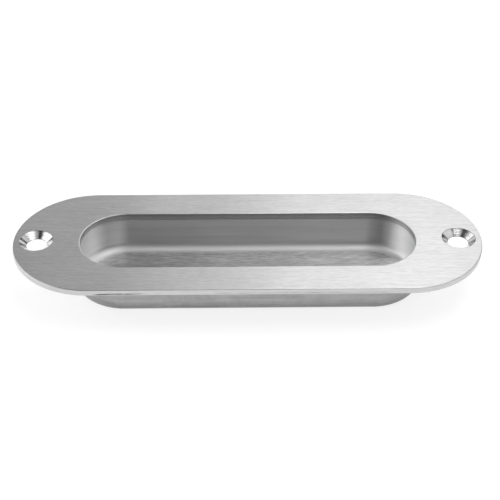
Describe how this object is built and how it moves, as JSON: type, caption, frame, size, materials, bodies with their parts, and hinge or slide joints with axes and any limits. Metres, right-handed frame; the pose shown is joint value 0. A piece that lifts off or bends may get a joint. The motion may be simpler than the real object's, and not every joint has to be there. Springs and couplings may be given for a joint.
{
  "type": "recessed pull handle",
  "caption": "Flush recessed pull: flat steel plate with round ends, a countersunk screw hole at each end and a long finger opening over a shallow drawn cup.",
  "frame": {"origin": "midway between the two screw holes, on the back face of the plate, which is the plane that lies on the door", "axes": "+X along the handle through both screw holes; +Z out of the door, the way a screw leaves its hole; +Y across the handle"},
  "size_m": [0.12, 0.041, 0.0131],
  "materials": {
    "plate_steel": "stainless steel sheet, satin brushed along its length",
    "cup_steel": "drawn stainless steel sheet, semi-bright as pressed"
  },
  "bodies": {
    "root": {"face_plate": "plate_steel", "recess_cup": "cup_steel"}
  },
  "joints": []
}
